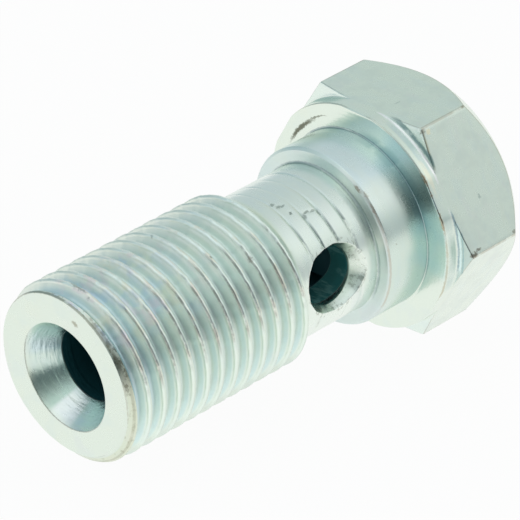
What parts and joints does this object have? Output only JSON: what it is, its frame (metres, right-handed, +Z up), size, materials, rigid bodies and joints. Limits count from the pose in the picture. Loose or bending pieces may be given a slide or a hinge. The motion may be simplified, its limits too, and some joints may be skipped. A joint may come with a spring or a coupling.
{
  "type": "banjo bolt",
  "caption": "Hollow hexagon-head banjo bolt: fine threaded shank with a countersunk axial bore, cross-drilled neck, centring collar and round seating flange, lying on its side.",
  "frame": {"origin": "on the surface the bolt lies on, under the middle of its bounding box", "axes": "+X level, from the threaded tip towards the head (the bolt's own axis rises 3.9 degrees above it), +Y across the bolt, +Z up"},
  "size_m": [0.0274, 0.0148, 0.0131],
  "materials": {
    "plated_steel": "turned and zinc plated, clear blue passivation"
  },
  "bodies": {
    "root": {"banjo_bolt": "plated_steel"}
  },
  "joints": []
}
